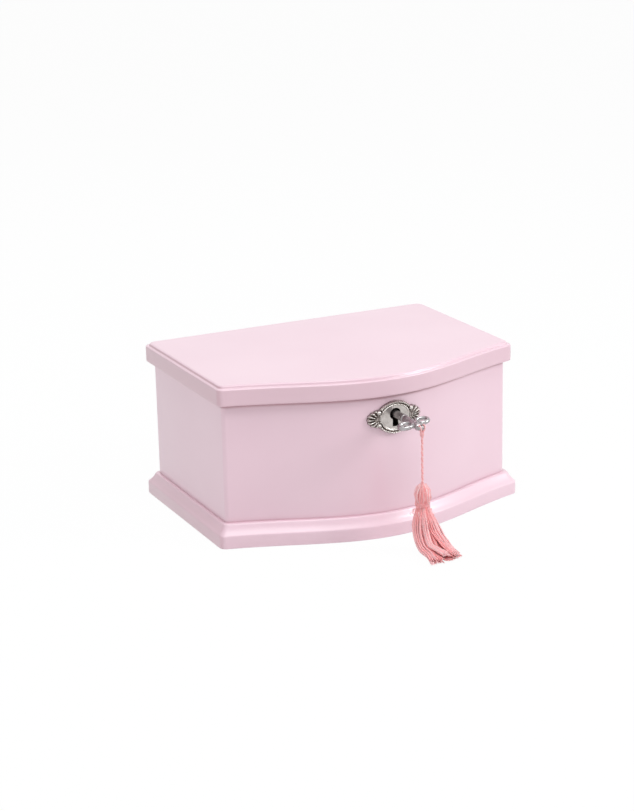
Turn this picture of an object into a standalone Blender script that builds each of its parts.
"""Ballerina jewellery box: a bow-fronted case with a lock, and a wind-up dancer inside.

Metres, +Z up. The front faces -Y, and the origin is the middle of the underside.
"""
from math import atan2, ceil, cos, floor, pi, radians, sin, sqrt, tan

import bmesh
import bpy
from mathutils import Matrix, Vector

mm = 0.001

# Gap kept between pieces that touch, and between pieces that turn in each other
FIT = 0.3 * mm

# How far a cut runs past the face that it opens
PAST = 1 * mm

# Case
BODY_WIDTH = 188 * mm
SIDE_DEPTH = 105.3 * mm
BOW_DEPTH = 29.2 * mm
BOW_BLEND = 0.55
BOW_STEPS = 26
WALL = 8 * mm
CORNER_RADIUS = 3 * mm
CORNER_STEPS = 3
EDGE_EASE = 0.7 * mm

# Base board and its moulded edge
BASE_HEIGHT = 13.8 * mm
BASE_OVERHANG = 6.1 * mm
BASE_BAND = 7.6 * mm
BEAD_REACH = 1.6 * mm
BEAD_HEIGHT = 0.8 * mm
OVOLO_STEPS = 4

# Lid
LID_JOINT = 85.5 * mm
LID_EDGE = 10.2 * mm
LID_OVERHANG = 3.6 * mm
LID_BACK_OVERHANG = 6.1 * mm
LID_ROUND = 0.8 * mm
PANEL_LEDGE = 1.6 * mm
PANEL_COVE = 1.6 * mm
PANEL_RISE = 1.7 * mm
LID_LINING_INSET = 12 * mm
LID_LINING_THICK = 2.4 * mm
MIRROR_WIDTH = 124 * mm
MIRROR_DEPTH = 66 * mm
MIRROR_THICK = 2 * mm
MIRROR_SETBACK = 14 * mm

# Hinges
HINGE_X = 56 * mm
HINGE_WIDTH = 27 * mm
HINGE_LEAF_LENGTH = 12 * mm
HINGE_LEAF_THICK = 1 * mm
KNUCKLE_RADIUS = 2.5 * mm
HINGE_PIN_RADIUS = 1.1 * mm

# Lock, its plate and its key; the lock stands a little to the right of the middle
LOCK_X = 2.2 * mm
KEY_BELOW_JOINT = 11.9 * mm
KEYHOLE_RADIUS = 3.5 * mm
KEYHOLE_DROP = 7.4 * mm
KEYHOLE_SLOT = 3.2 * mm
KEYHOLE_RUN = 5 * mm
PLATE_BELOW_JOINT = 13.9 * mm
PLATE_WIDTH = 36 * mm
PLATE_TALL = 20 * mm
PLATE_THICK = 0.8 * mm
PLATE_RIM = 2.2 * mm
PLATE_DISH = 1.2 * mm
PLATE_STEPS = 44
LOCK_WIDTH = 34 * mm
LOCK_TALL = 22 * mm
LOCK_DEEP = 9.4 * mm
LOCK_PLATE = 1 * mm
LOCK_MORTISE = 2 * mm
LOCK_CLEAR = 1.5 * mm
BOLT_TRAVEL = 3 * mm
BOLT_THICK = 2 * mm
BOLT_TALL = 3 * mm
STAPLE_INSET = 7 * mm
STAPLE_THICK = 2 * mm
STAPLE_DEPTH = 5 * mm
STAPLE_DROP = 5 * mm
KEY_SHAFT_RADIUS = 2.3 * mm
KEY_INSIDE = 13 * mm
KEY_BIT_REACH = 5.5 * mm
KEY_BIT_LENGTH = 4.6 * mm
KEY_BIT_THICK = 2 * mm
KEY_COLLAR_OUT = 11.5 * mm
KEY_COLLAR_RADIUS = 3.3 * mm
KEY_COLLAR_LENGTH = 1.8 * mm
KEY_LOBE_OUT = 23 * mm
KEY_LOBE_SIDE = 5.3 * mm
KEY_LOBE_RADIUS = 4.8 * mm
KEY_LOBE_HOLE = 2.8 * mm
KEY_TIP_OUT = 30.6 * mm
KEY_TIP_RADIUS = 3.2 * mm
KEY_TIP_HOLE = 1.5 * mm
KEY_BOW_THICK = 3 * mm
KEY_REST_TURN = radians(9)

# Tassel: a loop through the key's bow, a cord, a head and a skirt that lies on the ground
CORD_RADIUS = 0.7 * mm
CORD_STEP = 3 * mm
LOOP_WIRE = 0.5 * mm
TASSEL_HEAD_TOP = 40.4 * mm
TASSEL_HEAD_FOOT = 26.4 * mm
TASSEL_HEAD_RADIUS = 4.9 * mm
TASSEL_NECK_RADIUS = 3.6 * mm
SKIRT_TOP_RADIUS = 5.8 * mm
SKIRT_END_WIDTH = 22 * mm
SKIRT_END_THICK = 5.2 * mm
SKIRT_REACH = 26 * mm
SKIRT_DRIFT = 4 * mm
SKIRT_FLUTES = 8
SKIRT_FLUTE_DEPTH = 0.05

# Lining and compartments
LINING = 1 * mm
LINING_DROP = 2 * mm
DIVIDER = 3 * mm
COVER_WIDTH = 94 * mm
COVER_DEPTH = 49 * mm
COVER_SKIN = 1.5 * mm
RING_BAY_WIDTH = 80 * mm
RING_BED_HEIGHT = 14 * mm
RING_ROLL_RADIUS = 5.6 * mm
RING_ROLL_GAP = 0.6 * mm

# Musical movement; heights are above the underside of its bedplate
MOVEMENT_BACK_ROOM = 24.6 * mm
BED_THICK = 2.5 * mm
BED_LEFT = 15 * mm
BED_RIGHT = 44 * mm
BED_FRONT = 22.5 * mm
BED_BACK = 21 * mm
BEARING_THICK = 1.8 * mm
ARBOR_RADIUS = 1 * mm
BARREL_RIM = 1.3 * mm
BARREL_WALL = 1.2 * mm
CROWN_PLANE = 9.4 * mm
CROWN_TEETH = 36
CROWN_MODULE = 0.6 * mm
CROWN_FACE = 1.8 * mm
PINION_TEETH = 12
DRUM_RADIUS = 6 * mm
DRUM_LENGTH = 19.6 * mm
DRUM_SIDES = 16
PINS_PER_TRACK = 2
PIN_HEIGHT = 0.7 * mm
COMB_TEETH = 18
COMB_PITCH = 1.05 * mm
COMB_THICK = 1 * mm
COMB_LENGTH = 14 * mm
END_GEAR_RISE = 0.8 * mm
GOVERNOR_PINION_TEETH = 15
FINE_MODULE = 0.5 * mm
GEAR_FACE = 1.8 * mm
GOVERNOR_DROP = 4.3 * mm
WORM_WHEEL_TEETH = 14
WORM_MODULE = 0.6 * mm
WORM_STARTS = 2
WORM_PITCH_RADIUS = 2 * mm
WORM_TURNS = 1.8
WORM_SIDES = 14
WORM_WHEEL_BACK = 4 * mm
GOVERNOR_LEAD = 2 * mm
FAN_RADIUS = 5.5 * mm
FAN_HEIGHT = 3 * mm
FAN_AIR = 1.1 * mm
FAN_BLADE = 0.7 * mm
FLY_SHAFT_RADIUS = 0.6 * mm
COCK_ARM = 1.5 * mm
COCK_POST = 2.4 * mm
COCK_GAP = 2 * mm
WINDING_RADIUS = 2 * mm
POCKET_RADIUS = 16 * mm
POCKET_DEPTH = 10.4 * mm
WINDING_SPAN = 24 * mm
WINDING_FOOT = 1.4 * mm
WINDING_WING = 1.8 * mm
WINDING_FLOOR = 1 * mm
MAINSPRING_TURNS = 5
MAINSPRING_STRIP = 0.35 * mm
MAINSPRING_TALL = 3.6 * mm
MAINSPRING_POINTS = 18
STOP_ROD_RADIUS = 1 * mm
STOP_FINGER = 1.6 * mm

# Dancer
SPINDLE_RADIUS = 1.5 * mm
DANCER_BASE_RADIUS = 6.5 * mm
DANCER_BASE_THICK = 1.5 * mm
SPRING_TURNS = 6
SPRING_HEIGHT = 7 * mm
SPRING_RADIUS = 2.2 * mm
SPRING_WIRE = 0.32 * mm
SPRING_POINTS = 9
FIGURE_HEADROOM = 0.9 * mm
FIGURE_UNITS = 35
STAND_THICK = 1 * mm
STAND_RADIUS = 2.7 * mm
TUTU_RADIUS = 11 * mm
TUTU_PLEATS = 12
TUTU_THICK = 0.7 * mm

# Colour, roughness and metallic value of each finish
FINISHES = {
    "lacquer": ((0.80, 0.60, 0.67), 0.35, 0.0),
    "nickel": ((0.60, 0.58, 0.55), 0.30, 1.0),
    "steel": ((0.55, 0.56, 0.58), 0.35, 1.0),
    "brass": ((0.72, 0.54, 0.25), 0.30, 1.0),
    "velvet": ((0.78, 0.42, 0.52), 0.95, 0.0),
    "satin": ((0.90, 0.70, 0.76), 0.55, 0.0),
    "mirror": ((0.90, 0.92, 0.93), 0.03, 1.0),
    "thread": ((0.88, 0.38, 0.40), 0.80, 0.0),
    "plastic": ((0.93, 0.80, 0.74), 0.45, 0.0),
    "net": ((0.95, 0.82, 0.87), 0.80, 0.0),
}

# Places worked out from the sizes above
HALF_WIDTH = BODY_WIDTH / 2
BODY_BACK = (SIDE_DEPTH + BOW_DEPTH) / 2
BODY_CORNER = BODY_BACK - SIDE_DEPTH
BODY_FRONT = -BODY_BACK
WALL_FOOT = BASE_HEIGHT + FIT
WALL_TOP = LID_JOINT - FIT
LID_TOP = LID_JOINT + LID_EDGE
FLOOR_TOP = WALL_FOOT + LINING
CAVITY_BACK = BODY_BACK - WALL - FIT - LINING - FIT
HINGE_Y = BODY_BACK + FIT + KNUCKLE_RADIUS
HINGE_Z = LID_JOINT - FIT - KNUCKLE_RADIUS
KEY_HEIGHT = LID_JOINT - KEY_BELOW_JOINT
PLATE_HEIGHT = LID_JOINT - PLATE_BELOW_JOINT
LOCK_FRONT = BODY_FRONT + WALL - LOCK_MORTISE + FIT
LOCK_BACK = LOCK_FRONT + LOCK_DEEP
LOCK_TOP = WALL_TOP - FIT
BOLT_Y = (LOCK_FRONT + LOCK_BACK) / 2
BOLT_FOOT = KEY_HEIGHT + KEY_BIT_REACH + 2 * FIT
STAPLE_X = LOCK_X + LOCK_WIDTH / 2 - STAPLE_INSET
MOVEMENT_Y = CAVITY_BACK - MOVEMENT_BACK_ROOM
BED_Z = WALL_FOOT
BED_TOP = BED_Z + BED_THICK
DRUM_Z = BED_Z + CROWN_PLANE + PINION_TEETH * CROWN_MODULE / 2
CROWN_RADIUS = CROWN_TEETH * CROWN_MODULE / 2
CROWN_DECK = BED_Z + CROWN_PLANE - 0.8 * CROWN_MODULE
BARREL_RADIUS = CROWN_RADIUS + CROWN_FACE / 2 + BARREL_RIM
LEFT_BEARING_X = BARREL_RADIUS + 2 * FIT
DRUM_X = LEFT_BEARING_X + BEARING_THICK + FIT
END_GEAR_X = DRUM_X + DRUM_LENGTH
RIGHT_BEARING_X = END_GEAR_X + GEAR_FACE + 2 * FIT
END_GEAR_TEETH = 2 * ceil((DRUM_RADIUS + PIN_HEIGHT + END_GEAR_RISE) / FINE_MODULE)
GOVERNOR_REACH = (END_GEAR_TEETH + GOVERNOR_PINION_TEETH) * FINE_MODULE / 2
GOVERNOR_Y = MOVEMENT_Y + sqrt(GOVERNOR_REACH ** 2 - GOVERNOR_DROP ** 2)
GOVERNOR_Z = DRUM_Z - GOVERNOR_DROP
WORM_WHEEL_RADIUS = WORM_WHEEL_TEETH * WORM_MODULE / 2
WORM_Y = GOVERNOR_Y + WORM_WHEEL_RADIUS + WORM_PITCH_RADIUS
WORM_WHEEL_X = END_GEAR_X - WORM_WHEEL_BACK
GOVERNOR_START = WORM_WHEEL_X - GOVERNOR_LEAD
WORM_X = WORM_WHEEL_X + GEAR_FACE / 2
FAN_FOOT = GOVERNOR_Z + WORM_WHEEL_RADIUS + WORM_MODULE + FAN_AIR
COCK_FOOT = FAN_FOOT + FAN_HEIGHT + 2 * FIT
COCK_TOP = COCK_FOOT + COCK_ARM
DRUM_TOP = DRUM_Z + DRUM_RADIUS + PIN_HEIGHT
END_GEAR_TOP = DRUM_Z + END_GEAR_TEETH * FINE_MODULE / 2 + FINE_MODULE
COVER_TOP = max(DRUM_TOP, END_GEAR_TOP, COCK_TOP) + 2 * FIT + COVER_SKIN
COMB_BACK = MOVEMENT_Y - DRUM_RADIUS - PIN_HEIGHT - FIT - COMB_LENGTH
COVER_FRONT = CAVITY_BACK - COVER_DEPTH
FRONT_DIVIDER_Y = COVER_FRONT - FIT - DIVIDER
SPINDLE_TOP = COVER_TOP + 2 * FIT
DANCER_BASE_Z = SPINDLE_TOP + FIT
SPRING_Z = DANCER_BASE_Z + DANCER_BASE_THICK + FIT + SPRING_WIRE
FIGURE_Z = SPRING_Z + SPRING_HEIGHT + SPRING_WIRE + FIT + STAND_THICK
LOOP_RIM = KEY_TIP_RADIUS - KEY_TIP_HOLE
LOOP_RADIUS = sqrt((KEY_BOW_THICK / 2) ** 2 + (LOOP_RIM / 2) ** 2) + FIT + LOOP_WIRE
LOOP_Y = BODY_FRONT - KEY_TIP_OUT - KEY_TIP_HOLE - LOOP_RIM / 2
TASSEL_PIVOT_Z = KEY_HEIGHT - LOOP_RADIUS - LOOP_WIRE - CORD_RADIUS - FIT / 3
STOP_ROD_X = WORM_X + FAN_RADIUS + 2 * FIT + STOP_FINGER + STOP_ROD_RADIUS
LID_LINING_FOOT = LID_JOINT - FIT - LID_LINING_THICK
RING_ROLL_PITCH = 2 * RING_ROLL_RADIUS + RING_ROLL_GAP
FIGURE_HEIGHT = LID_LINING_FOOT - FIGURE_HEADROOM - FIGURE_Z
GEAR_ANGLE = atan2(-GOVERNOR_DROP, GOVERNOR_Y - MOVEMENT_Y)


# Scene helpers

def clear_scene():
    for old in list(bpy.data.objects):
        bpy.data.objects.remove(old, do_unlink=True)


def pivot(name, place):
    """An empty that carries one moving body, on its joint's axis."""
    empty = bpy.data.objects.new(name, None)
    empty.location = place
    bpy.context.scene.collection.objects.link(empty)
    return empty


def finish_of(name, finish):
    colour, roughness, metallic = FINISHES[finish]
    material = bpy.data.materials.new(name + "_finish")
    material.use_nodes = True
    shader = material.node_tree.nodes["Principled BSDF"]
    shader.inputs["Base Color"].default_value = (*colour, 1.0)
    shader.inputs["Roughness"].default_value = roughness
    shader.inputs["Metallic"].default_value = metallic
    return material


def settle(name, data, finish, carrier):
    """Make an object of data given in the part's frame, with its origin on its carrier."""
    data.transform(Matrix.Translation(-carrier.location))
    data.materials.append(finish_of(name, finish))
    piece = bpy.data.objects.new(name, data)
    piece.parent = carrier
    bpy.context.scene.collection.objects.link(piece)
    return piece


def part(name, form, finish, carrier, smooth_angle=30):
    mesh = bpy.data.meshes.new(name)
    form.to_mesh(mesh)
    form.free()
    mesh.shade_smooth()
    mesh.set_sharp_from_angle(angle=radians(smooth_angle))
    return settle(name, mesh, finish, carrier)


def combine(piece, form, operation):
    """Cut a form out of a piece, or join it on."""
    label = piece.name + "_" + operation.lower()
    mesh = bpy.data.meshes.new(label)
    form.to_mesh(mesh)
    form.free()
    tool = bpy.data.objects.new(label, mesh)
    tool.hide_render = True
    tool.display_type = "WIRE"
    bpy.context.scene.collection.objects.link(tool)
    boolean = piece.modifiers.new(label, "BOOLEAN")
    boolean.operation = operation
    boolean.object = tool


def cut(piece, *forms):
    for form in forms:
        combine(piece, form, "DIFFERENCE")


def join(piece, *forms):
    for form in forms:
        combine(piece, form, "UNION")


def wire(name, points, radius, finish, carrier, closed=False, resolution=2):
    """A round tube along points, with filled ends."""
    curve = bpy.data.curves.new(name, "CURVE")
    curve.dimensions = "3D"
    curve.bevel_depth = radius
    curve.bevel_resolution = resolution
    curve.use_fill_caps = True
    line = curve.splines.new("POLY")
    line.points.add(len(points) - 1)
    line.use_cyclic_u = closed
    for spot, point in zip(line.points, points):
        spot.co = (*point, 1.0)
    return settle(name, curve, finish, carrier)


# Form helpers: each gives a bmesh in the part's frame

def along(axis, across, up, distance):
    """A point from two coordinates in an outline's plane and one along its axis."""
    if axis == "X":
        return Vector((distance, across, up))
    if axis == "Y":
        return Vector((across, distance, up))
    return Vector((across, up, distance))


def level(outline, height):
    return [Vector((x, y, height)) for x, y in outline]


def loft(rings, loop=False):
    """Skin rings that have as many points each, and cap the ends unless they close."""
    form = bmesh.new()
    rows = [[form.verts.new(point) for point in ring] for ring in rings]
    pairs = list(zip(rows, rows[1:]))
    if loop:
        pairs.append((rows[-1], rows[0]))
    else:
        form.faces.new(rows[0])
        form.faces.new(rows[-1])
    for first, second in pairs:
        for i in range(len(first)):
            j = (i + 1) % len(first)
            form.faces.new((first[i], first[j], second[j], second[i]))
    bmesh.ops.recalc_face_normals(form, faces=form.faces)
    return form


def prism(outline, start, end, axis="Z"):
    return loft([[along(axis, u, v, place) for u, v in outline] for place in (start, end)])


def box(low, high):
    corners = [(low[0], low[1]), (high[0], low[1]), (high[0], high[1]), (low[0], high[1])]
    return prism(corners, low[2], high[2])


def circle(radius, steps, centre=(0.0, 0.0), turn=0.0):
    angles = [turn + 2 * pi * i / steps for i in range(steps)]
    return [(centre[0] + radius * cos(a), centre[1] + radius * sin(a)) for a in angles]


def turned(profile, centre, steps=20, axis="Z", turn=0.0):
    """Turn a profile of (radius, place along the axis) from end to end."""
    rings = []
    for radius, place in profile:
        rings.append([along(axis, u, v, place) for u, v in circle(radius, steps, centre, turn)])
    return loft(rings)


def rod(radius, centre, start, end, axis="Z", steps=20):
    return turned([(radius, start), (radius, end)], centre, steps, axis)


def fillet(before, corner, after, radius):
    """Points of an arc that rounds a corner."""
    arrive = (Vector(corner) - Vector(before)).normalized()
    leave = (Vector(after) - Vector(corner)).normalized()
    bend = atan2(arrive.x * leave.y - arrive.y * leave.x, arrive.dot(leave))
    start = Vector(corner) - arrive * radius * tan(abs(bend) / 2)
    inward = (leave - arrive).normalized()
    centre = Vector(corner) + inward * radius / cos(bend / 2)
    points = []
    for i in range(CORNER_STEPS + 1):
        spoke = Matrix.Rotation(bend * i / CORNER_STEPS, 2) @ (start - centre)
        points.append((centre + spoke)[:])
    return points


def rounded(corners, radius):
    points = []
    for i, corner in enumerate(corners):
        points += fillet(corners[i - 1], corner, corners[(i + 1) % len(corners)], radius)
    return points


def smooth(points, steps):
    """Points of a smooth curve through a route."""
    route = [Vector(p) for p in points]
    padded = [2 * route[0] - route[1], *route, 2 * route[-1] - route[-2]]
    curve = []
    for i in range(len(route) - 1):
        a, b, c, d = padded[i:i + 4]
        for step in range(steps):
            t = step / steps
            curve.append(b + (c - a) * t / 2 + (2 * a - 5 * b + 4 * c - d) * t ** 2 / 2
                         + (3 * b - a - 3 * c + d) * t ** 3 / 2)
    return curve + [route[-1]]


def sweep(path, sections, sides, width_hint, flutes=0, flute_depth=0.0):
    """Skin ellipses of (half width, half height) along a path."""
    rings = []
    for i, centre in enumerate(path):
        ahead = path[min(i + 1, len(path) - 1)] - path[max(i - 1, 0)]
        height = Vector(width_hint).cross(ahead).normalized()
        width = ahead.cross(height).normalized()
        half_width, half_height = sections[i]
        ring = []
        for side in range(sides):
            angle = 2 * pi * side / sides
            swell = 1 + flute_depth * cos(flutes * angle)
            ring.append(centre + swell * (width * half_width * cos(angle)
                                          + height * half_height * sin(angle)))
        rings.append(ring)
    return loft(rings)


def ball(centre, radii, steps=12):
    """An egg shape with its poles on a vertical axis."""
    rings = []
    for i in range(1, steps // 2):
        angle = pi * i / (steps // 2) - pi / 2
        ring = circle(1.0, steps)
        rings.append([Vector((centre[0] + radii[0] * cos(angle) * u, centre[1] + radii[1] * cos(angle) * v,
                              centre[2] + radii[2] * sin(angle))) for u, v in ring])
    return loft(rings)


def blend(values, count):
    """Spread a few values evenly over a count of places."""
    spread = []
    for i in range(count):
        place = i * (len(values) - 1) / (count - 1)
        low = min(int(place), len(values) - 2)
        spread.append(values[low] + (values[low + 1] - values[low]) * (place - low))
    return spread


def gear(teeth, module, start, end, centre, axis, phase=0.0, twist=0.0):
    """A toothed disc with a tooth at the phase angle; twist slants the teeth."""
    pitch_radius = teeth * module / 2
    root = pitch_radius - 0.95 * module
    tip = pitch_radius + 0.75 * module
    root_half = 0.25 * 2 * pi / teeth
    tip_half = 0.1 * 2 * pi / teeth
    rings = []
    for place, slant in ((start, -twist / 2), (end, twist / 2)):
        ring = []
        for tooth in range(teeth):
            middle = phase + slant + 2 * pi * tooth / teeth
            for radius, lean in ((root, -root_half), (tip, -tip_half), (tip, tip_half), (root, root_half)):
                angle = middle + lean
                across = centre[0] + radius * cos(angle)
                up = centre[1] + radius * sin(angle)
                ring.append(along(axis, across, up, place))
        rings.append(ring)
    return loft(rings)


def least_gap(points, radius, neighbours):
    """Least clear distance between stretches of a tube that aren't neighbours."""
    gap = 1.0
    for i, first in enumerate(points):
        for second in points[i + neighbours:]:
            gap = min(gap, (first - second).length - 2 * radius)
    return gap


# Outlines of the case

def bow_line(x, half):
    """Distance that the front stands out at x, as a curve with flatter shoulders than an arc."""
    share = x / half
    crown = (1 - BOW_BLEND) * (1 - share ** 2) + BOW_BLEND * (1 + cos(pi * share)) / 2
    return BODY_CORNER - BOW_DEPTH * crown


def front_edge(grow, radius):
    """The bowed front and its rounded corners, from left to right."""
    half = HALF_WIDTH + max(grow, 0.0)
    reach = HALF_WIDTH + grow
    xs = [-reach + 2 * reach * i / BOW_STEPS for i in range(BOW_STEPS + 1)]
    curve = [(x, bow_line(x, half) - grow) for x in xs]
    left = fillet((-reach, BODY_BACK), curve[0], curve[1], radius)
    right = fillet(curve[-2], curve[-1], (reach, BODY_BACK), radius)
    return left + curve[1:-1] + right


def case_outline(grow, radius=CORNER_RADIUS, grow_back=None):
    """The case seen from above, grown outwards from the walls' outer faces."""
    reach = HALF_WIDTH + grow
    back = BODY_BACK + (grow if grow_back is None else grow_back)
    front = front_edge(grow, radius)
    right = fillet(front[-1], (reach, back), (-reach, back), radius)
    left = fillet((reach, back), (-reach, back), front[0], radius)
    return front + right + left


# Case and its lining

def base_board(case):
    ovolo_foot = BASE_BAND
    ovolo_rise = BASE_HEIGHT - BEAD_HEIGHT - BASE_BAND
    ovolo_reach = BASE_OVERHANG - BEAD_REACH - EDGE_EASE
    profile = [(BASE_OVERHANG - EDGE_EASE, 0.0), (BASE_OVERHANG, EDGE_EASE)]
    for i in range(OVOLO_STEPS + 1):
        angle = pi / 2 * i / OVOLO_STEPS
        out = BEAD_REACH + EDGE_EASE + ovolo_reach * cos(angle)
        profile.append((out, ovolo_foot + ovolo_rise * sin(angle)))
    bead_foot = BASE_HEIGHT - BEAD_HEIGHT
    profile.append((BEAD_REACH, bead_foot))
    profile.append((BEAD_REACH, BASE_HEIGHT - EDGE_EASE))
    profile.append((BEAD_REACH - EDGE_EASE, BASE_HEIGHT))
    board = part("base_board", loft([level(case_outline(out), z) for out, z in profile]), "lacquer", case)
    arbor_hole = WINDING_RADIUS + 2 * FIT
    pocket = [(POCKET_RADIUS, -PAST), (POCKET_RADIUS, POCKET_DEPTH),
              (arbor_hole, POCKET_DEPTH), (arbor_hole, BASE_HEIGHT + PAST)]
    cut(board, turned(pocket, (0.0, MOVEMENT_Y), 40))


def lock_span(half):
    """The ends in X of a stretch that is centred on the lock."""
    return LOCK_X - half, LOCK_X + half


def keyhole(start, end):
    """The keyhole's outline through a span of Y: a round top over a flared slot."""
    foot = KEY_HEIGHT - KEYHOLE_DROP
    outline = [(LOCK_X + KEYHOLE_SLOT / 2, foot)]
    for i in range(15):
        angle = radians(-62 + 304 * i / 14)
        outline.append((LOCK_X + KEYHOLE_RADIUS * cos(angle), KEY_HEIGHT + KEYHOLE_RADIUS * sin(angle)))
    outline.append((LOCK_X - KEYHOLE_SLOT / 2, foot))
    return prism(outline, start, end, "Y")


def walls(case):
    seam = BODY_CORNER + WALL
    inside = HALF_WIDTH - WALL
    outline = [(-HALF_WIDTH, seam)] + front_edge(0.0, CORNER_RADIUS) + [(HALF_WIDTH, seam), (inside, seam)]
    for i in range(BOW_STEPS + 1):
        x = inside - 2 * inside * i / BOW_STEPS
        outline.append((x, bow_line(x, HALF_WIDTH) + WALL))
    outline.append((-inside, seam))
    front = part("front_wall", prism(outline, WALL_FOOT, WALL_TOP), "lacquer", case)
    near, far = lock_span(LOCK_WIDTH / 2 + FIT)
    cut(front,
        box((near, LOCK_FRONT - FIT, LOCK_TOP - LOCK_TALL - FIT), (far, 0.0, LID_JOINT)),
        keyhole(BODY_FRONT - KEYHOLE_RUN, BODY_FRONT + WALL + KEYHOLE_RUN))

    side_back = BODY_BACK - WALL - FIT
    for name, side in (("left_wall", -1), ("right_wall", 1)):
        near, far = sorted((side * inside, side * HALF_WIDTH))
        part(name, box((near, seam + FIT, WALL_FOOT), (far, side_back, WALL_TOP)), "lacquer", case)

    back_inner = BODY_BACK - WALL
    outline = [(-HALF_WIDTH, back_inner), (HALF_WIDTH, back_inner)]
    outline += fillet(outline[1], (HALF_WIDTH, BODY_BACK), (-HALF_WIDTH, BODY_BACK), CORNER_RADIUS)
    outline += fillet((HALF_WIDTH, BODY_BACK), (-HALF_WIDTH, BODY_BACK), outline[0], CORNER_RADIUS)
    part("back_wall", prism(outline, WALL_FOOT, WALL_TOP), "lacquer", case)


def linings(case):
    outer = case_outline(-WALL - FIT, LINING)
    inner = case_outline(-WALL - FIT - LINING, LINING)
    top = WALL_TOP - LINING_DROP
    rings = [level(outer, WALL_FOOT), level(outer, top), level(inner, top), level(inner, WALL_FOOT)]
    lining = part("wall_lining", loft(rings, loop=True), "velvet", case)
    near, far = lock_span(LOCK_WIDTH / 2 + 2 * FIT)
    cut(lining, box((near, BODY_FRONT, LOCK_TOP - LOCK_TALL - 2 * FIT), (far, 0.0, LID_JOINT)))

    sheet = case_outline(-WALL - FIT - LINING - FIT, LINING)
    floor = part("floor_lining", prism(sheet, WALL_FOOT, FLOOR_TOP), "velvet", case)
    cover_half = COVER_WIDTH / 2 + FIT
    cut(floor, box((-cover_half, COVER_FRONT - FIT, 0.0), (cover_half, BODY_BACK, COVER_TOP)))


def compartments(case):
    foot = FLOOR_TOP + FIT
    reach = HALF_WIDTH - WALL - LINING - 3 * FIT
    part("front_divider",
         box((-reach, FRONT_DIVIDER_Y, foot), (reach, FRONT_DIVIDER_Y + DIVIDER, COVER_TOP)), "velvet", case)
    bay = RING_BAY_WIDTH / 2
    outer = bay + DIVIDER
    front_end = bow_line(outer, HALF_WIDTH) + WALL + LINING + 4 * FIT
    for name, side in (("left_divider", -1), ("right_divider", 1)):
        near, far = sorted((side * bay, side * outer))
        part(name, box((near, front_end, foot), (far, FRONT_DIVIDER_Y - FIT, COVER_TOP)), "velvet", case)

    bed_back = FRONT_DIVIDER_Y - FIT
    roll_count = floor((bed_back - front_end) / RING_ROLL_PITCH)
    bed_depth = roll_count * RING_ROLL_PITCH
    bed_top = foot + RING_BED_HEIGHT
    block = box((FIT - bay, bed_back - bed_depth, foot), (bay - FIT, bed_back, bed_top))
    part("ring_bed", block, "velvet", case)
    for i in range(roll_count):
        y = bed_back - (i + 0.5) * RING_ROLL_PITCH
        ring_roll("ring_roll_" + str(i + 1), y, bed_top + FIT + RING_ROLL_RADIUS, case)


def ring_roll(name, y, z, case):
    """A padded roll with a crowned middle and drawn-in ends, its underside a little flattened."""
    reach = RING_BAY_WIDTH / 2 - 2 * FIT
    shares = [-1.0, -0.985, -0.94, -0.8, -0.4, 0.0, 0.4, 0.8, 0.94, 0.985, 1.0]
    swell = [0.55, 0.78, 0.92, 0.97, 0.99, 1.0, 0.99, 0.97, 0.92, 0.78, 0.55]
    path = [Vector((reach * share, y, z)) for share in shares]
    sections = [(RING_ROLL_RADIUS * s, RING_ROLL_RADIUS * s) for s in swell]
    part(name, sweep(path, sections, 14, (0, 1, 0)), "satin", case, 60)


# Lid

def lid_ring(inset, height):
    return level(case_outline(LID_OVERHANG - inset, CORNER_RADIUS, LID_BACK_OVERHANG - inset), height)


def lid_board(lid):
    cove = PANEL_LEDGE + PANEL_COVE
    rings = [
        lid_ring(LID_ROUND, LID_JOINT),
        lid_ring(0.0, LID_JOINT + LID_ROUND),
        lid_ring(0.0, LID_TOP - LID_ROUND),
        lid_ring(LID_ROUND * 0.3, LID_TOP - LID_ROUND * 0.3),
        lid_ring(LID_ROUND, LID_TOP),
        lid_ring(PANEL_LEDGE, LID_TOP),
        lid_ring(PANEL_LEDGE + PANEL_COVE * 0.35, LID_TOP + PANEL_RISE * 0.75),
        lid_ring(cove, LID_TOP + PANEL_RISE),
    ]
    board = part("lid_board", loft(rings), "lacquer", lid)
    leaf_top = LID_JOINT + FIT + HINGE_LEAF_THICK + FIT
    for side in (-1, 1):
        middle = side * HINGE_X
        half = HINGE_WIDTH / 2 + FIT
        cut(board, box((middle - half, HINGE_Y - HINGE_LEAF_LENGTH - FIT, LID_JOINT - PAST),
                       (middle + half, HINGE_Y + KNUCKLE_RADIUS + FIT, leaf_top)))
    near, far = lock_span(LOCK_WIDTH / 2 + FIT)
    cut(board, box((near, LOCK_FRONT - FIT, LID_JOINT - PAST), (far, LOCK_BACK + FIT, leaf_top)))


def lid_lining(lid):
    top = LID_JOINT - FIT
    sheet = case_outline(-LID_LINING_INSET, LINING)
    lining = part("lid_lining", prism(sheet, LID_LINING_FOOT, top), "velvet", lid)
    back = BODY_BACK - LID_LINING_INSET - MIRROR_SETBACK
    half = MIRROR_WIDTH / 2
    near, far = lock_span(LOCK_WIDTH / 2 + LOCK_CLEAR)
    cut(lining,
        box((-half - FIT, back - MIRROR_DEPTH - FIT, 0.0), (half + FIT, back + FIT, LID_TOP)),
        box((near, BODY_FRONT, 0.0), (far, LOCK_BACK + LOCK_CLEAR, LID_TOP)))
    glass = box((-half, back - MIRROR_DEPTH, top - MIRROR_THICK), (half, back, top))
    part("lid_mirror", glass, "mirror", lid)


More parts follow.
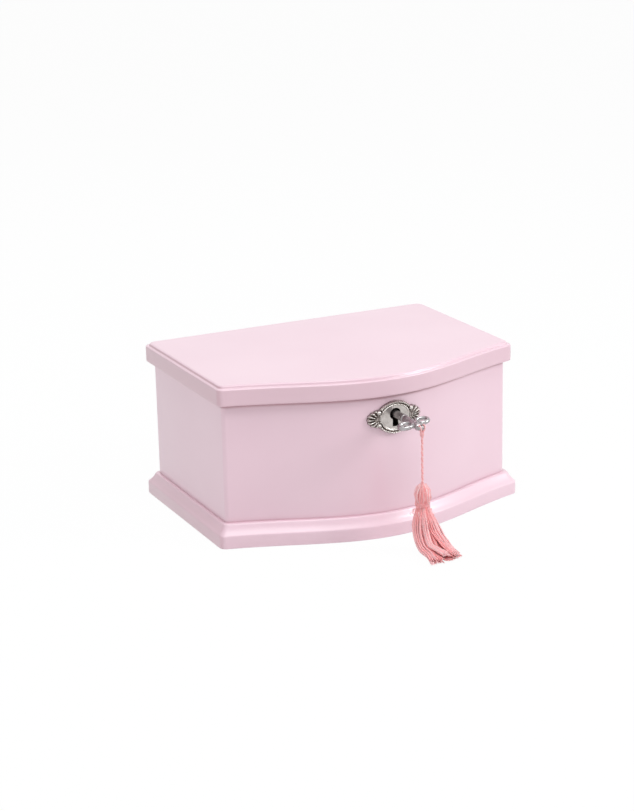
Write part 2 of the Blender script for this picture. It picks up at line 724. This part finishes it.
def hinges(case, lid):
    """Butt hinges: a leaf on the back wall, a leaf let into the lid, and a pin in each."""
    third = HINGE_WIDTH / 3
    centre = (HINGE_Y, HINGE_Z)
    leaf_face = BODY_BACK + FIT
    for side, label in ((-1, "left"), (1, "right")):
        start = side * HINGE_X - HINGE_WIDTH / 2
        end = start + HINGE_WIDTH
        leaf = box((start, leaf_face, HINGE_Z - HINGE_LEAF_LENGTH),
                   (end, leaf_face + HINGE_LEAF_THICK, HINGE_Z))
        body_leaf = part("hinge_leaf_body_" + label, leaf, "brass", case)
        join(body_leaf,
             rod(KNUCKLE_RADIUS, centre, start, start + third - FIT, "X", 16),
             rod(KNUCKLE_RADIUS, centre, end - third + FIT, end, "X", 16))
        cut(body_leaf,
            box((start + third - FIT, leaf_face - PAST, HINGE_Z - KNUCKLE_RADIUS - FIT),
                (end - third + FIT, HINGE_Y, HINGE_Z + KNUCKLE_RADIUS)),
            rod(HINGE_PIN_RADIUS + FIT, centre, start - PAST, end + PAST, "X", 16))

        foot = LID_JOINT + FIT
        leaf = box((start, HINGE_Y - HINGE_LEAF_LENGTH, foot),
                   (end, HINGE_Y + KNUCKLE_RADIUS, foot + HINGE_LEAF_THICK))
        lid_leaf = part("hinge_leaf_lid_" + label, leaf, "brass", lid)
        join(lid_leaf,
             box((start + third, HINGE_Y + FIT, HINGE_Z),
                 (end - third, HINGE_Y + KNUCKLE_RADIUS, foot + FIT)),
             rod(KNUCKLE_RADIUS, centre, start + third, end - third, "X", 16))
        cut(lid_leaf, rod(HINGE_PIN_RADIUS + FIT, centre, start - PAST, end + PAST, "X", 16))
        part("hinge_pin_" + label, rod(HINGE_PIN_RADIUS, centre, start, end, "X", 12), "brass", case)


def strike_plate(lid):
    near, far = lock_span(LOCK_WIDTH / 2)
    foot = LID_JOINT + FIT
    plate = box((near, LOCK_FRONT, foot), (far, LOCK_BACK, foot + LOCK_PLATE))
    strike = part("strike_plate", plate, "nickel", lid)
    staple_foot = LID_JOINT - STAPLE_DROP
    staple_half = STAPLE_THICK / 2
    join(strike, box((STAPLE_X - staple_half, BOLT_Y - STAPLE_DEPTH / 2, staple_foot),
                     (STAPLE_X + staple_half, BOLT_Y + STAPLE_DEPTH / 2, foot + LOCK_PLATE / 2)))
    eye = BOLT_THICK / 2 + FIT
    cut(strike, box((STAPLE_X - STAPLE_THICK, BOLT_Y - eye, BOLT_FOOT - FIT),
                    (STAPLE_X + STAPLE_THICK, BOLT_Y + eye, BOLT_FOOT + BOLT_TALL + FIT)))


# Lock and key

def lock_case(case):
    near, far = lock_span(LOCK_WIDTH / 2)
    foot = LOCK_TOP - LOCK_TALL
    shell = part("lock_case", box((near, LOCK_FRONT, foot), (far, LOCK_BACK, LOCK_TOP)), "nickel", case)
    inner = LOCK_PLATE
    slot = STAPLE_THICK / 2 + 2 * FIT
    cut(shell,
        box((near + inner, LOCK_FRONT + inner, foot + inner),
            (far - inner, LOCK_BACK - inner, LOCK_TOP - inner)),
        keyhole(BODY_FRONT, LOCK_FRONT + 2 * inner),
        box((STAPLE_X - slot, BOLT_Y - STAPLE_DEPTH / 2 - 2 * FIT, BOLT_FOOT),
            (STAPLE_X + slot, BOLT_Y + STAPLE_DEPTH / 2 + 2 * FIT, LID_JOINT)))


def lock_bolt(bolt):
    """A sliding bolt with a nose for the staple and a talon beside the bit's circle."""
    nose = STAPLE_X - STAPLE_THICK / 2 - 2 * FIT
    top = BOLT_FOOT + BOLT_TALL
    talon = LOCK_X - (KEY_BIT_REACH + BOLT_TRAVEL + FIT)
    tail = LOCK_X + FIT + LOCK_PLATE + BOLT_TRAVEL - LOCK_WIDTH / 2
    outline = [(talon, BOLT_FOOT), (nose, BOLT_FOOT), (nose, top), (tail, top),
               (tail, KEY_HEIGHT), (talon, KEY_HEIGHT)]
    part("lock_bolt", prism(outline, BOLT_Y - BOLT_THICK / 2, BOLT_Y + BOLT_THICK / 2, "Y"), "steel", bolt)


def outward(distance):
    """The Y of a point that stands out from the front by a distance."""
    return BODY_FRONT - distance


def turned_key(form):
    """Turn a form about the key's axis to the key's resting angle."""
    axis_point = Vector((LOCK_X, 0.0, KEY_HEIGHT))
    bmesh.ops.rotate(form, cent=axis_point, matrix=Matrix.Rotation(-KEY_REST_TURN, 3, "Y"), verts=form.verts)
    return form


def lock_key(key):
    """A key with a bit, a collar and a bow of two side lobes and a front lobe."""
    centre = (LOCK_X, KEY_HEIGHT)
    neck = KEY_SHAFT_RADIUS * 0.72
    collar_end = KEY_COLLAR_OUT + KEY_COLLAR_LENGTH
    profile = [(KEY_SHAFT_RADIUS, outward(-KEY_INSIDE)), (KEY_SHAFT_RADIUS, outward(KEY_COLLAR_OUT)),
               (KEY_COLLAR_RADIUS, outward(KEY_COLLAR_OUT + KEY_COLLAR_LENGTH * 0.3)),
               (KEY_COLLAR_RADIUS, outward(collar_end - KEY_COLLAR_LENGTH * 0.3)),
               (KEY_SHAFT_RADIUS, outward(collar_end)), (neck, outward(KEY_LOBE_OUT - KEY_LOBE_RADIUS)),
               (neck * 0.7, outward(KEY_TIP_OUT - KEY_TIP_RADIUS + EDGE_EASE))]
    shaft = part("lock_key", turned_key(turned(profile, centre, 16, "Y")), "nickel", key)
    low = KEY_HEIGHT - KEY_BOW_THICK / 2
    high = KEY_HEIGHT + KEY_BOW_THICK / 2
    lobes = [(LOCK_X - KEY_LOBE_SIDE, KEY_LOBE_OUT, KEY_LOBE_RADIUS, KEY_LOBE_HOLE),
             (LOCK_X + KEY_LOBE_SIDE, KEY_LOBE_OUT, KEY_LOBE_RADIUS, KEY_LOBE_HOLE),
             (LOCK_X, KEY_TIP_OUT, KEY_TIP_RADIUS, KEY_TIP_HOLE)]
    for x, out, radius, hole in lobes:
        join(shaft, turned_key(rod(radius, (x, outward(out)), low, high, "Z", 22)))
    for x, out, radius, hole in lobes:
        cut(shaft, turned_key(rod(hole, (x, outward(out)), low - PAST, high + PAST, "Z", 16)))
    half = KEY_BIT_THICK / 2
    bit_end = outward(-KEY_INSIDE) - EDGE_EASE
    join(shaft, turned_key(box((LOCK_X - KEY_BIT_REACH, bit_end - KEY_BIT_LENGTH, KEY_HEIGHT - half),
                               (LOCK_X, bit_end, KEY_HEIGHT + half))))


def plate_point(angle, share, height):
    """A point of the lock plate: a share of the way out at an angle, standing off the bowed wall."""
    across = abs(cos(angle)) ** 1.12 * (1 if cos(angle) > 0 else -1)
    up = abs(sin(angle)) ** 1.12 * (1 if sin(angle) > 0 else -1)
    x = LOCK_X + PLATE_WIDTH / 2 * share * across
    z = PLATE_HEIGHT + PLATE_TALL / 2 * share * up
    return Vector((x, bow_line(x, HALF_WIDTH) - FIT - height, z))


def escutcheon(case):
    """A cast plate with a rounded rim, a dished middle and a fluted shell at each end."""
    front = [(1.0, PLATE_THICK), (0.95, PLATE_RIM), (0.88, PLATE_RIM), (0.8, PLATE_DISH),
             (0.68, PLATE_RIM * 0.8), (0.6, PLATE_DISH), (0.36, PLATE_DISH * 0.9), (0.12, PLATE_DISH * 0.9)]
    rings = []
    for share in (0.12, 0.4, 0.7, 1.0):
        rings.append([plate_point(2 * pi * i / PLATE_STEPS, share, 0.0) for i in range(PLATE_STEPS)])
    for share, height in front:
        ring = []
        for i in range(PLATE_STEPS):
            angle = 2 * pi * i / PLATE_STEPS
            shell = max(0.0, abs(cos(angle)) - 0.72) / 0.28 * max(0.0, share - 0.5) * 2
            flute = PLATE_RIM * 0.3 * shell * cos(PLATE_STEPS / 2 * angle)
            ring.append(plate_point(angle, share, height + flute))
        rings.append(ring)
    plate = part("escutcheon", loft(rings), "nickel", case, 50)
    cut(plate, keyhole(BODY_FRONT - 2 * PLATE_RIM - KEYHOLE_RUN, BODY_FRONT + WALL))


# Tassel

def tassel(key, hanger):
    ring = []
    for y, z in circle(LOOP_RADIUS, 16, (LOOP_Y, KEY_HEIGHT)):
        ring.append(Vector((LOCK_X, y, z)))
    wire("tassel_loop", ring, LOOP_WIRE, "thread", key, closed=True, resolution=1)

    cord_foot = TASSEL_HEAD_TOP + FIT
    count = ceil((TASSEL_PIVOT_Z - cord_foot) / CORD_STEP)
    drop = (TASSEL_PIVOT_Z - cord_foot) / count
    points = [Vector((LOCK_X, LOOP_Y, TASSEL_PIVOT_Z - drop * i)) for i in range(count + 1)]
    wire("tassel_cord", points, CORD_RADIUS, "thread", hanger)

    tall = TASSEL_HEAD_TOP - TASSEL_HEAD_FOOT
    neck = [(1.0, 0.0), (1.05, 0.08), (0.97, 0.2)]
    crown = [(0.76, 0.3), (0.94, 0.4), (1.0, 0.58), (0.95, 0.76), (0.74, 0.9), (0.45, 0.97), (0.24, 1.0)]
    profile = [(TASSEL_NECK_RADIUS * swell, TASSEL_HEAD_FOOT + tall * share) for swell, share in neck]
    profile += [(TASSEL_HEAD_RADIUS * swell, TASSEL_HEAD_FOOT + tall * share) for swell, share in crown]
    part("tassel_head", turned(profile, (LOCK_X, LOOP_Y), 16), "thread", hanger, 60)

    top = TASSEL_HEAD_FOOT - FIT
    end_half = SKIRT_END_THICK / 2
    lift = end_half * (1 + SKIRT_FLUTE_DEPTH) + FIT
    route = [(LOCK_X, LOOP_Y, top), (LOCK_X + SKIRT_DRIFT * 0.1, LOOP_Y - SKIRT_REACH * 0.03, top * 0.66),
             (LOCK_X + SKIRT_DRIFT * 0.25, LOOP_Y - SKIRT_REACH * 0.15, top * 0.4),
             (LOCK_X + SKIRT_DRIFT * 0.5, LOOP_Y - SKIRT_REACH * 0.38, lift + SKIRT_END_THICK * 0.36),
             (LOCK_X + SKIRT_DRIFT * 0.75, LOOP_Y - SKIRT_REACH * 0.66, lift + SKIRT_END_THICK * 0.1),
             (LOCK_X + SKIRT_DRIFT, LOOP_Y - SKIRT_REACH, lift)]
    path = smooth(route, 3)
    widths = blend([SKIRT_TOP_RADIUS, SKIRT_TOP_RADIUS * 1.12, SKIRT_END_WIDTH * 0.36,
                    SKIRT_END_WIDTH * 0.41, SKIRT_END_WIDTH * 0.46, SKIRT_END_WIDTH / 2], len(path))
    thicks = blend([SKIRT_TOP_RADIUS, SKIRT_TOP_RADIUS * 1.05, SKIRT_TOP_RADIUS * 0.85,
                    end_half * 1.3, end_half * 1.1, end_half], len(path))
    sections = list(zip(widths, thicks))
    form = sweep(path, sections, 3 * SKIRT_FLUTES, (1, 0, 0), SKIRT_FLUTES, SKIRT_FLUTE_DEPTH)
    part("tassel_skirt", form, "thread", hanger, 60)


# Musical movement

def movement_frame(case):
    """Bedplate with its upright bearings, the cover over it, and the governor's cock."""
    corners = [(-BED_LEFT, MOVEMENT_Y - BED_FRONT), (BED_RIGHT, MOVEMENT_Y - BED_FRONT),
               (BED_RIGHT, MOVEMENT_Y + BED_BACK), (-BED_LEFT, MOVEMENT_Y + BED_BACK)]
    bed = part("movement_bedplate", prism(rounded(corners, CORNER_RADIUS), BED_Z, BED_TOP), "steel", case)
    sunk = BED_TOP - BED_THICK / 2
    cheek = 3 * ARBOR_RADIUS
    governor_right = GOVERNOR_Y + cheek
    half_comb = COMB_TEETH * COMB_PITCH / 2
    comb_x = DRUM_X + DRUM_LENGTH / 2
    join(bed,
         box((LEFT_BEARING_X, MOVEMENT_Y - cheek, sunk),
             (LEFT_BEARING_X + BEARING_THICK, MOVEMENT_Y + cheek, DRUM_Z + cheek)),
         box((RIGHT_BEARING_X, MOVEMENT_Y - cheek, sunk),
             (RIGHT_BEARING_X + BEARING_THICK, governor_right, DRUM_Z + cheek)),
         box((GOVERNOR_START - FIT - BEARING_THICK, GOVERNOR_Y - 2 * ARBOR_RADIUS, sunk),
             (GOVERNOR_START + ARBOR_RADIUS - 2 * FIT, GOVERNOR_Y + 2 * ARBOR_RADIUS,
              GOVERNOR_Z + 2 * ARBOR_RADIUS)),
         box((comb_x - half_comb, COMB_BACK, sunk),
             (comb_x + half_comb, COMB_BACK + COMB_LENGTH * 0.4, DRUM_Z - COMB_THICK / 2 - FIT)))
    bore = ARBOR_RADIUS + FIT
    cut(bed,
        rod(bore, (MOVEMENT_Y, DRUM_Z), 0.0, RIGHT_BEARING_X + 3 * BEARING_THICK, "X", 14),
        rod(bore, (GOVERNOR_Y, GOVERNOR_Z), 0.0, RIGHT_BEARING_X + 3 * BEARING_THICK, "X", 14),
        rod(WINDING_RADIUS + FIT, (0.0, MOVEMENT_Y), 0.0, BED_TOP + PAST, "Z", 20),
        rod(FLY_SHAFT_RADIUS + FIT, (WORM_X, WORM_Y), 0.0, BED_TOP + PAST, "Z", 12))

    half = COVER_WIDTH / 2
    shell = box((-half, COVER_FRONT, BED_Z), (half, CAVITY_BACK, COVER_TOP))
    cover = part("movement_cover", shell, "velvet", case)
    cut(cover,
        box((COVER_SKIN - half, COVER_FRONT + COVER_SKIN, 0.0),
            (half - COVER_SKIN, BODY_BACK, COVER_TOP - COVER_SKIN)),
        rod(SPINDLE_RADIUS + 2 * FIT, (0.0, MOVEMENT_Y), BED_Z, COVER_TOP + PAST, "Z", 20),
        rod(STOP_ROD_RADIUS + FIT, (STOP_ROD_X, WORM_Y), BED_Z, COVER_TOP + PAST, "Z", 14))

    pillar = WORM_X - FAN_RADIUS - COCK_GAP
    outer = pillar - COCK_POST
    toe = outer - COCK_POST
    nose = WORM_X + COCK_POST
    foot = BED_TOP + FIT
    outline = [(toe, foot), (pillar, foot), (pillar, COCK_FOOT), (nose, COCK_FOOT), (nose, COCK_TOP),
               (outer, COCK_TOP), (outer, foot + COCK_ARM), (toe, foot + COCK_ARM)]
    cock = part("governor_cock", prism(outline, WORM_Y - COCK_POST, WORM_Y + COCK_POST, "Y"), "brass", case)
    cut(cock, rod(FLY_SHAFT_RADIUS + FIT, (WORM_X, WORM_Y), COCK_FOOT - PAST, COCK_TOP + PAST, "Z", 12))


def comb(case):
    """A steel comb whose teeth end just short of the drum's pins."""
    tip = COMB_BACK + COMB_LENGTH
    middle = DRUM_X + DRUM_LENGTH / 2
    half = COMB_TEETH * COMB_PITCH / 2
    tooth_half = COMB_PITCH * 0.33
    outline = [(middle + half, COMB_BACK), (middle - half, COMB_BACK)]
    for i in range(COMB_TEETH):
        x = middle + (i - (COMB_TEETH - 1) / 2) * COMB_PITCH
        root = COMB_BACK + COMB_LENGTH * (0.45 + 0.2 * i / COMB_TEETH)
        left = x - tooth_half
        right = x + tooth_half
        outline += [(left, root), (left, tip), (right, tip), (right, root)]
    low = DRUM_Z - COMB_THICK / 2
    part("comb", prism(outline, low, low + COMB_THICK), "steel", case)


def spring_barrel(drive):
    """An upturned cup with crown teeth round its top and the dancer's spindle in the middle."""
    segments = 2 * CROWN_TEETH
    foot = BED_TOP + FIT
    inner = CROWN_RADIUS - CROWN_FACE / 2
    outer = CROWN_RADIUS + CROWN_FACE / 2
    bore = BARREL_RADIUS - BARREL_WALL
    profile = [(SPINDLE_RADIUS, SPINDLE_TOP), (SPINDLE_RADIUS, CROWN_DECK), (inner, CROWN_DECK),
               (outer, CROWN_DECK), (BARREL_RADIUS, CROWN_DECK), (BARREL_RADIUS, foot), (bore, foot),
               (bore, CROWN_DECK - BARREL_WALL)]
    form = turned(profile, (0.0, MOVEMENT_Y), segments, "Z", -pi / segments)
    tooth_height = 1.45 * CROWN_MODULE
    for tooth in range(CROWN_TEETH):
        angle = 2 * pi * (2 * tooth + 1) / segments
        spoke = Vector((cos(angle), sin(angle), 0.0))
        middle = Vector((0.0, MOVEMENT_Y, CROWN_DECK)) + CROWN_RADIUS * spoke
        face = min(form.faces, key=lambda f: (f.calc_center_median() - middle).length)
        top = bmesh.ops.extrude_discrete_faces(form, faces=[face])["faces"][0]
        sideways = Vector((-sin(angle), cos(angle), 0.0))
        for corner in top.verts:
            offset = (corner.co - middle).dot(sideways)
            corner.co -= sideways * offset * 0.55
            corner.co.z += tooth_height
    bmesh.ops.recalc_face_normals(form, faces=form.faces)
    part("spring_barrel", form, "brass", drive)


def mainspring(drive):
    """A flat strip wound in a spiral inside the barrel."""
    start = WINDING_RADIUS + 3 * FIT
    end = BARREL_RADIUS - BARREL_WALL - FIT - MAINSPRING_STRIP
    count = MAINSPRING_TURNS * MAINSPRING_POINTS
    low = BED_TOP + 2 * FIT
    rings = []
    middle = []
    for i in range(count + 1):
        angle = 2 * pi * i / MAINSPRING_POINTS
        radius = start + (end - start) * i / count
        spoke = Vector((cos(angle), sin(angle), 0.0))
        inner = Vector((0.0, MOVEMENT_Y, low)) + spoke * radius
        outer = inner + spoke * MAINSPRING_STRIP
        rise = Vector((0.0, 0.0, MAINSPRING_TALL))
        rings.append([inner, outer, outer + rise, inner + rise])
        middle.append((inner + outer) / 2)
    part("mainspring", loft(rings), "steel", drive)
    gap = least_gap(middle, MAINSPRING_STRIP / 2, MAINSPRING_POINTS // 2)
    print("mainspring least gap %.2f mm" % (gap / mm))


def winder(winding):
    """The butterfly key in the underside, and the arbor that it turns."""
    centre = (0.0, MOVEMENT_Y)
    hub_foot = POCKET_DEPTH * 0.55
    hub_top = POCKET_DEPTH - FIT
    hub_radius = 2 * WINDING_RADIUS
    key = part("winding_key", rod(hub_radius, centre, hub_foot, hub_top, "Z", 20), "brass", winding)
    steps = 28
    half_span = WINDING_SPAN / 2
    middle = (WINDING_FOOT + hub_top - FIT) / 2
    half_tall = middle - WINDING_FOOT
    wings = []
    for i in range(steps):
        angle = 2 * pi * i / steps
        waist = 0.5 + 0.5 * abs(cos(angle)) ** 0.7
        wings.append((half_span * cos(angle), middle + half_tall * sin(angle) * waist))
    half_thick = WINDING_WING / 2
    join(key, prism(wings, MOVEMENT_Y - half_thick, MOVEMENT_Y + half_thick, "Y"))
    socket = hub_foot + WINDING_FLOOR
    cut(key, rod(WINDING_RADIUS + FIT, centre, socket, hub_top + PAST, "Z", 16))
    arbor_top = CROWN_DECK - BARREL_WALL - FIT
    part("winding_arbor", rod(WINDING_RADIUS, centre, socket + FIT, arbor_top, "Z", 16), "steel", winding)


def tune_cylinder(cylinder):
    """The pinned drum on its arbor, with the pinion that the crown drives and the end gear."""
    centre = (MOVEMENT_Y, DRUM_Z)
    track = DRUM_LENGTH / (COMB_TEETH + 1)
    places = [0.0]
    for i in range(COMB_TEETH):
        middle = track * (i + 1)
        places += [middle - track / 4, middle + track / 4]
    places.append(DRUM_LENGTH)
    form = turned([(DRUM_RADIUS, DRUM_X + place) for place in places], centre, DRUM_SIDES, "X")
    chosen = []
    for i in range(COMB_TEETH):
        for beat in range(PINS_PER_TRACK):
            step = (7 * i + 6 * beat + i * beat) % DRUM_SIDES
            angle = 2 * pi * (step + 0.5) / DRUM_SIDES
            x = DRUM_X + track * (i + 1)
            spot = Vector((x, MOVEMENT_Y + DRUM_RADIUS * cos(angle), DRUM_Z + DRUM_RADIUS * sin(angle)))
            chosen.append(min(form.faces, key=lambda f: (f.calc_center_median() - spot).length))
    for face in set(chosen):
        pin = bmesh.ops.extrude_discrete_faces(form, faces=[face])["faces"][0]
        middle = pin.calc_center_median()
        outwards = Vector((0.0, middle.y - MOVEMENT_Y, middle.z - DRUM_Z)).normalized()
        for corner in pin.verts:
            corner.co = middle + (corner.co - middle) * 0.35 + outwards * PIN_HEIGHT
    bmesh.ops.recalc_face_normals(form, faces=form.faces)
    drum = part("tune_cylinder", form, "brass", cylinder)
    pinion_start = CROWN_RADIUS - CROWN_FACE / 2
    mesh_angle = -pi / 2
    join(drum,
         rod(ARBOR_RADIUS, centre, pinion_start - PAST, RIGHT_BEARING_X + BEARING_THICK, "X", 12),
         gear(PINION_TEETH, CROWN_MODULE, pinion_start, pinion_start + CROWN_FACE, centre, "X", mesh_angle),
         gear(END_GEAR_TEETH, FINE_MODULE, END_GEAR_X - FIT, END_GEAR_X + GEAR_FACE, centre, "X", GEAR_ANGLE))


def governor_wheel(governor):
    """An arbor with the pinion that the end gear drives and the wheel that drives the worm."""
    centre = (GOVERNOR_Y, GOVERNOR_Z)
    arbor_end = RIGHT_BEARING_X + BEARING_THICK
    arbor = rod(ARBOR_RADIUS, centre, GOVERNOR_START - BEARING_THICK, arbor_end, "X", 12)
    wheel = part("governor_wheel", arbor, "brass", governor)
    half_tooth = pi / GOVERNOR_PINION_TEETH
    lead = WORM_STARTS * pi * WORM_MODULE
    slant = GEAR_FACE * lead / (2 * pi * WORM_PITCH_RADIUS) / WORM_WHEEL_RADIUS
    join(wheel,
         gear(GOVERNOR_PINION_TEETH, FINE_MODULE, END_GEAR_X, END_GEAR_X + GEAR_FACE, centre, "X",
              GEAR_ANGLE + pi + half_tooth),
         gear(WORM_WHEEL_TEETH, WORM_MODULE, WORM_WHEEL_X, WORM_WHEEL_X + GEAR_FACE, centre, "X",
              pi / WORM_WHEEL_TEETH, slant))


def governor_fly(fly):
    """A worm on an upright shaft, with a two-bladed air brake above it."""
    lead = WORM_STARTS * pi * WORM_MODULE
    worm_tall = WORM_TURNS * lead
    rows = round(WORM_TURNS * WORM_SIDES)
    root = WORM_PITCH_RADIUS - 1.4 * WORM_MODULE
    ridge = 2.0 * WORM_MODULE
    foot = GOVERNOR_Z - worm_tall / 2
    shaft = [FLY_SHAFT_RADIUS] * WORM_SIDES
    rings = [(shaft, BED_Z + FIT), (shaft, foot)]
    for row in range(rows + 1):
        z = foot + worm_tall * row / rows
        ring = []
        for side in range(WORM_SIDES):
            angle = 2 * pi * side / WORM_SIDES
            phase = WORM_STARTS * (angle + pi / 2 - 2 * pi * (z - GOVERNOR_Z) / lead)
            ring.append(root + ridge * max(0.0, cos(phase) - 0.25) / 0.75)
        rings.append((ring, z))
    shaft_top = COCK_TOP - FIT
    rings += [(shaft, foot + worm_tall), (shaft, shaft_top)]
    spokes = circle(1.0, WORM_SIDES)
    skin = []
    for ring, z in rings:
        skin.append([Vector((WORM_X + r * u, WORM_Y + r * v, z)) for r, (u, v) in zip(ring, spokes)])
    worm = part("governor_fly", loft(skin), "brass", fly)
    half = FAN_BLADE / 2
    join(worm, box((WORM_X - FAN_RADIUS, WORM_Y - half, FAN_FOOT),
                   (WORM_X + FAN_RADIUS, WORM_Y + half, FAN_FOOT + FAN_HEIGHT)))


def stop_rod(stop):
    """A rod under the lid with a finger beside the air brake."""
    foot = BED_TOP + FIT
    top = LID_LINING_FOOT - FIT
    upright = part("stop_rod", rod(STOP_ROD_RADIUS, (STOP_ROD_X, WORM_Y), foot, top, "Z", 12), "steel", stop)
    middle = FAN_FOOT + FAN_HEIGHT / 2
    half = STOP_FINGER / 2
    join(upright, box((STOP_ROD_X - STOP_ROD_RADIUS - STOP_FINGER, WORM_Y - half, middle - half),
                      (STOP_ROD_X, WORM_Y + half, middle + half)))


# Dancer

def dancer_mount(drive):
    """The turning base on the spindle, and the coil spring that the figure stands on."""
    centre = (0.0, MOVEMENT_Y)
    base_top = DANCER_BASE_Z + DANCER_BASE_THICK
    boss = SPRING_RADIUS - SPRING_WIRE - FIT
    rim = DANCER_BASE_RADIUS - EDGE_EASE
    profile = [(rim, DANCER_BASE_Z), (DANCER_BASE_RADIUS, DANCER_BASE_Z + EDGE_EASE / 2),
               (rim, base_top), (boss, base_top), (boss, base_top + SPRING_HEIGHT * 0.3)]
    part("dancer_base", turned(profile, centre, 28), "plastic", drive)
    points = []
    for i in range(SPRING_TURNS * SPRING_POINTS + 1):
        angle = 2 * pi * i / SPRING_POINTS
        z = SPRING_Z + SPRING_HEIGHT * i / (SPRING_TURNS * SPRING_POINTS)
        points.append(Vector((SPRING_RADIUS * cos(angle), MOVEMENT_Y + SPRING_RADIUS * sin(angle), z)))
    wire("dancer_spring", points, SPRING_WIRE, "steel", drive, resolution=1)
    print("dancer spring least gap %.2f mm" % (least_gap(points, SPRING_WIRE, SPRING_POINTS // 2) / mm))


def dancer_figure(drive):
    """A dancer on her points with her arms raised, on a round stand."""
    unit = FIGURE_HEIGHT / FIGURE_UNITS

    def spot(x, y, z):
        return Vector((x * unit, MOVEMENT_Y + y * unit, FIGURE_Z + z * unit))

    torso = [(17.0, 2.3, 1.8), (18.6, 2.45, 1.85), (19.6, 2.0, 1.5), (20.8, 1.55, 1.2), (22.4, 1.8, 1.4),
             (24.0, 2.15, 1.6), (25.4, 2.3, 1.3), (26.3, 1.7, 1.0), (27.0, 0.9, 0.8), (28.6, 0.8, 0.8)]
    path = [spot(0, 0, z) for z, w, d in torso]
    sections = [(w * unit, d * unit) for z, w, d in torso]
    figure = part("dancer_figure", sweep(path, sections, 12, (1, 0, 0)), "plastic", drive, 60)
    join(figure,
         ball(spot(0, -0.1, 30.1), (1.75 * unit, 1.95 * unit, 2.3 * unit)),
         ball(spot(0, 1.5, 31.8), (1.1 * unit, 1.1 * unit, 1.1 * unit), 10))
    leg_radii = blend([1.55, 1.5, 1.2, 0.95, 1.05, 0.75, 0.62, 0.45], 10)
    arm_radii = blend([0.85, 0.7, 0.62, 0.5, 0.42, 0.3], 13)
    for side in (-1, 1):
        leg = [spot(side * x, y, z) for x, y, z in ((1.1, 0, 18.0), (1.0, -0.1, 12.5),
                                                   (0.85, 0, 7.5), (0.6, 0.1, -0.4))]
        join(figure, sweep(smooth(leg, 3), [(r * unit, r * unit) for r in leg_radii], 9, (1, 0, 0)))
        arm = [spot(side * x, y, z) for x, y, z in ((1.7, 0, 25.3), (4.0, -0.4, 26.9), (5.2, -0.8, 29.6),
                                                   (4.2, -1.0, 32.6), (1.3, -1.0, 34.6))]
        join(figure, sweep(smooth(arm, 3), [(r * unit, r * unit) for r in arm_radii], 8, (0, 1, 0)))
    centre = (0.0, MOVEMENT_Y)
    peg = SPRING_RADIUS - SPRING_WIRE - FIT
    foot = FIGURE_Z - STAND_THICK
    stand = [(peg, foot - SPRING_HEIGHT * 0.3), (peg, foot), (STAND_RADIUS, foot), (STAND_RADIUS, FIGURE_Z)]
    join(figure, turned(stand, centre, 20))


def dancer_tutu(drive):
    """A pleated skirt of net round the hips."""
    unit = FIGURE_HEIGHT / FIGURE_UNITS
    waist_z = FIGURE_Z + 19.4 * unit
    waist = 2.9 * unit
    steps = 4 * TUTU_PLEATS
    rings = []
    rows = [(0.0, 0.0), (0.35, 0.02), (0.7, -0.06), (1.0, -0.2)]
    order = [(share, fall, 1) for share, fall in rows] + [(share, fall, 0) for share, fall in reversed(rows)]
    for share, fall, upper in order:
        radius = waist + (TUTU_RADIUS - waist) * share
        ring = []
        for i in range(steps):
            angle = 2 * pi * i / steps
            ripple = 0.07 * share * cos(TUTU_PLEATS * angle)
            z = waist_z + TUTU_RADIUS * (fall + ripple) + TUTU_THICK * upper
            ring.append(Vector((radius * cos(angle), MOVEMENT_Y + radius * sin(angle), z)))
        rings.append(ring)
    part("dancer_tutu", loft(rings, loop=True), "net", drive, 60)


def main():
    clear_scene()
    case = pivot("case_frame", Vector((0.0, 0.0, 0.0)))
    lid = pivot("lid_pivot", Vector((0.0, HINGE_Y, HINGE_Z)))
    key = pivot("key_pivot", Vector((LOCK_X, BODY_FRONT, KEY_HEIGHT)))
    bolt = pivot("bolt_slide", Vector((LOCK_X, BOLT_Y, BOLT_FOOT)))
    hanger = pivot("tassel_pivot", Vector((LOCK_X, LOOP_Y, TASSEL_PIVOT_Z)))
    winding = pivot("winding_pivot", Vector((0.0, MOVEMENT_Y, 0.0)))
    drive = pivot("drive_pivot", Vector((0.0, MOVEMENT_Y, BED_Z)))
    cylinder = pivot("cylinder_pivot", Vector((DRUM_X, MOVEMENT_Y, DRUM_Z)))
    governor = pivot("governor_pivot", Vector((WORM_WHEEL_X, GOVERNOR_Y, GOVERNOR_Z)))
    fly = pivot("fly_pivot", Vector((WORM_X, WORM_Y, BED_Z)))
    stop = pivot("stop_slide", Vector((STOP_ROD_X, WORM_Y, BED_TOP)))

    base_board(case)
    walls(case)
    linings(case)
    compartments(case)
    escutcheon(case)
    lock_case(case)
    lid_board(lid)
    lid_lining(lid)
    strike_plate(lid)
    hinges(case, lid)
    lock_key(key)
    lock_bolt(bolt)
    tassel(key, hanger)
    movement_frame(case)
    comb(case)
    winder(winding)
    spring_barrel(drive)
    mainspring(drive)
    dancer_mount(drive)
    dancer_figure(drive)
    dancer_tutu(drive)
    tune_cylinder(cylinder)
    governor_wheel(governor)
    governor_fly(fly)
    stop_rod(stop)


main()
